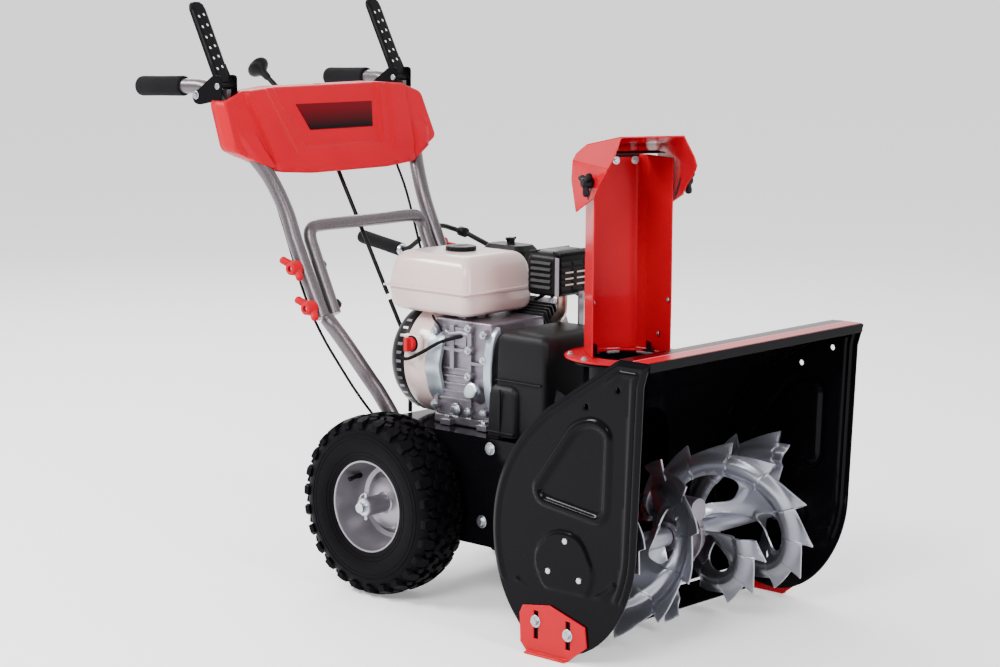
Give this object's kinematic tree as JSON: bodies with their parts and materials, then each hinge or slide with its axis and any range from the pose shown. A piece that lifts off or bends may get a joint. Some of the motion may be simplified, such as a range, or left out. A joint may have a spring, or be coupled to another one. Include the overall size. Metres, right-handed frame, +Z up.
{
  "type": "two stage snowblower",
  "caption": "Walk-behind two stage snowblower: wide auger housing, steel chute with tilting deflector, engine, lugged wheels and folding handle.",
  "frame": {"origin": "centre of the bounding box on the ground plane", "axes": "+Z up, -Y forwards towards the auger housing, +X to the left of the machine as seen by the operator"},
  "size_m": [0.624, 1.2988, 1.0616],
  "materials": {
    "black_enamel": "gloss",
    "red_paint": "gloss",
    "cream_paint": "gloss",
    "grey_paint": "satin",
    "zinc_steel": "satin",
    "cast_aluminium": "cast",
    "red_plastic": "satin",
    "black_plastic": "matte",
    "rubber": "matte",
    "tyre": "matte",
    "bronze": "satin",
    "black_steel": "satin",
    "silver_paint": "satin"
  },
  "bodies": {
    "frame": {"housing_shell": "black_enamel", "side_plate_right": "black_enamel", "side_plate_left": "black_enamel", "scraper_bar": "zinc_steel", "impeller_drum": "black_enamel", "gearbox_case": "cast_aluminium", "frame_box": "black_enamel", "auger_belt": "rubber", "belt_cover": "black_plastic", "crankcase": "cast_aluminium", "cylinder_head": "cast_aluminium", "fan_housing": "cream_paint", "recoil_cover": "black_plastic", "fuel_tank": "cream_paint", "air_cleaner": "black_plastic", "muffler": "black_steel", "lower_tube_right": "grey_paint", "lower_tube_left": "grey_paint", "drive_cable": "rubber", "auger_cable": "rubber"},
    "axle": {"axle_shaft": "zinc_steel", "tyre_right": "tyre", "rim_right": "silver_paint", "tyre_left": "tyre", "rim_left": "silver_paint"},
    "auger": {"auger_right": "zinc_steel", "auger_left": "zinc_steel", "auger_shaft": "zinc_steel", "worm_wheel": "bronze"},
    "impeller": {"impeller_shaft": "zinc_steel", "impeller": "red_paint"},
    "crankshaft": {"crankshaft": "zinc_steel"},
    "skid_right": {"skid_shoe_right": "red_paint"},
    "skid_left": {"skid_shoe_left": "red_paint"},
    "chute": {"chute_ring": "red_paint", "chute": "red_paint"},
    "deflector": {"deflector": "red_paint"},
    "deflector_knob_right": {"deflector_knob_right": "black_plastic"},
    "deflector_knob_left": {"deflector_knob_left": "black_plastic"},
    "crank_rod": {"crank_rod": "black_steel"},
    "crank_handle": {"crank_handle": "black_steel", "crank_grip": "rubber"},
    "handle": {"upper_tube_right": "grey_paint", "upper_tube_left": "grey_paint", "grip_right": "rubber", "grip_left": "rubber", "crossbar": "grey_paint", "control_panel": "red_plastic"},
    "lever_right": {"lever_right": "black_steel"},
    "lever_left": {"lever_left": "black_steel"},
    "knob_lower_right": {"handle_knob_lower_right": "red_plastic"},
    "knob_upper_right": {"handle_knob_upper_right": "red_plastic"},
    "knob_lower_left": {"handle_knob_lower_left": "red_plastic"},
    "knob_upper_left": {"handle_knob_upper_left": "red_plastic"},
    "shift_lever": {"shift_lever": "black_plastic"},
    "shift_rod": {"shift_rod": "black_steel"},
    "shift_link": {"shift_link": "black_steel"},
    "engine_switch": {"engine_switch": "red_plastic"},
    "starter_grip": {"starter_grip": "black_plastic"},
    "fuel_cap": {"fuel_cap": "black_plastic"}
  },
  "joints": [
    {"name": "axle_spin", "type": "hinge", "parent": "frame", "child": "axle", "pos_m": [0, 0.0506, 0.165], "axis": [1, 0, 0], "continuous": true},
    {"name": "auger_spin", "type": "hinge", "parent": "frame", "child": "auger", "pos_m": [0, -0.4804, 0.165], "axis": [1, 0, 0], "continuous": true},
    {"name": "impeller_spin", "type": "hinge", "parent": "frame", "child": "impeller", "pos_m": [0, -0.2834, 0.212], "axis": [0, 1, 0], "continuous": true},
    {"name": "crankshaft_spin", "type": "hinge", "parent": "frame", "child": "crankshaft", "pos_m": [0, 0.0506, 0.41], "axis": [0, 1, 0], "continuous": true},
    {"name": "skid_slide_right", "type": "slide", "parent": "frame", "child": "skid_right", "axis": [0, 0, 1], "range_m": [-0.018, 0.018]},
    {"name": "skid_slide_left", "type": "slide", "parent": "frame", "child": "skid_left", "axis": [0, 0, 1], "range_m": [-0.018, 0.018]},
    {"name": "chute_swivel", "type": "hinge", "parent": "frame", "child": "chute", "pos_m": [0, -0.3574, 0.462], "axis": [0, 0, 1], "range_deg": [-72, 128]},
    {"name": "deflector_tilt", "type": "hinge", "parent": "chute", "child": "deflector", "pos_m": [0.02535, -0.30972, 0.811], "axis": [0.8829, -0.4695, 0], "range_deg": [-28, 3]},
    {"name": "deflector_knob_turn_right", "type": "hinge", "parent": "deflector", "child": "deflector_knob_right", "pos_m": [-0.10437, -0.34494, 0.77], "axis": [0.8829, -0.4695, 0], "range_deg": [-180, 180]},
    {"name": "deflector_knob_turn_left", "type": "hinge", "parent": "deflector", "child": "deflector_knob_left", "pos_m": [0.06869, -0.43696, 0.77], "axis": [0.8829, -0.4695, 0], "range_deg": [-180, 180]},
    {"name": "crank_rod_turn", "type": "hinge", "parent": "frame", "child": "crank_rod", "pos_m": [0.113, -0.3454, 0.478], "axis": [0.1584, 0.9606, 0.2282], "range_deg": [-874, 1546]},
    {"name": "crank_turn", "type": "hinge", "parent": "handle", "child": "crank_handle", "pos_m": [0.206, 0.2186, 0.612], "axis": [0.13, 0.9854, 0.11], "range_deg": [-874, 1546]},
    {"name": "handle_fold", "type": "hinge", "parent": "frame", "child": "handle", "pos_m": [0, 0.2236, 0.506], "axis": [-1, 0, 0], "range_deg": [0, 80], "deforming": ["drive_cable", "auger_cable"]},
    {"name": "lever_squeeze_right", "type": "hinge", "parent": "handle", "child": "lever_right", "pos_m": [0, 0.4226, 0.905], "axis": [-1, 0, 0], "range_deg": [0, 46], "stiffness_Nm_per_rad": 2, "springref_deg": -20.05},
    {"name": "lever_squeeze_left", "type": "hinge", "parent": "handle", "child": "lever_left", "pos_m": [0, 0.4226, 0.905], "axis": [-1, 0, 0], "range_deg": [0, 46], "stiffness_Nm_per_rad": 2, "springref_deg": -20.05},
    {"name": "knob_turn_lower_right", "type": "hinge", "parent": "handle", "child": "knob_lower_right", "pos_m": [-0.209, 0.2236, 0.506], "axis": [1, 0, 0], "range_deg": [-180, 180]},
    {"name": "knob_turn_upper_right", "type": "hinge", "parent": "handle", "child": "knob_upper_right", "pos_m": [-0.209, 0.2636, 0.576], "axis": [1, 0, 0], "range_deg": [-180, 180]},
    {"name": "knob_turn_lower_left", "type": "hinge", "parent": "handle", "child": "knob_lower_left", "pos_m": [0.209, 0.2236, 0.506], "axis": [1, 0, 0], "range_deg": [-180, 180]},
    {"name": "knob_turn_upper_left", "type": "hinge", "parent": "handle", "child": "knob_upper_left", "pos_m": [0.209, 0.2636, 0.576], "axis": [1, 0, 0], "range_deg": [-180, 180]},
    {"name": "shift_lever_tilt", "type": "hinge", "parent": "handle", "child": "shift_lever", "pos_m": [0, 0.4026, 0.8], "axis": [1, 0, 0], "range_deg": [-12, 12]},
    {"name": "shift_rod_slide", "type": "slide", "parent": "handle", "child": "shift_rod", "axis": [0, 0.5078, 0.8615], "range_m": [-0.009, 0.009]},
    {"name": "shift_link_slide", "type": "slide", "parent": "frame", "child": "shift_link", "axis": [0, 0.5078, 0.8615], "range_m": [-0.009, 0.009]},
    {"name": "engine_switch_turn", "type": "hinge", "parent": "frame", "child": "engine_switch", "pos_m": [-0.116, 0.0566, 0.448], "axis": [1, 0, 0], "range_deg": [0, 60]},
    {"name": "starter_pull", "type": "slide", "parent": "frame", "child": "starter_grip", "axis": [0, 0.8486, 0.5291], "range_m": [0, 0.4], "stiffness_N_per_m": 6, "springref_m": -0.5},
    {"name": "fuel_cap_turn", "type": "hinge", "parent": "frame", "child": "fuel_cap", "pos_m": [-0.005, 0.0336, 0.62], "axis": [0, 0, 1], "range_deg": [-90, 0]}
  ],
  "couplings": [
    {"joint": "impeller_spin", "follows": "auger_spin", "ratio": 10},
    {"joint": "crank_rod_turn", "follows": "chute_swivel", "ratio": 12},
    {"joint": "crank_turn", "follows": "chute_swivel", "ratio": 12},
    {"joint": "shift_rod_slide", "follows": "shift_lever_tilt", "m_per_rad": -0.038},
    {"joint": "shift_link_slide", "follows": "shift_lever_tilt", "m_per_rad": -0.038}
  ]
}
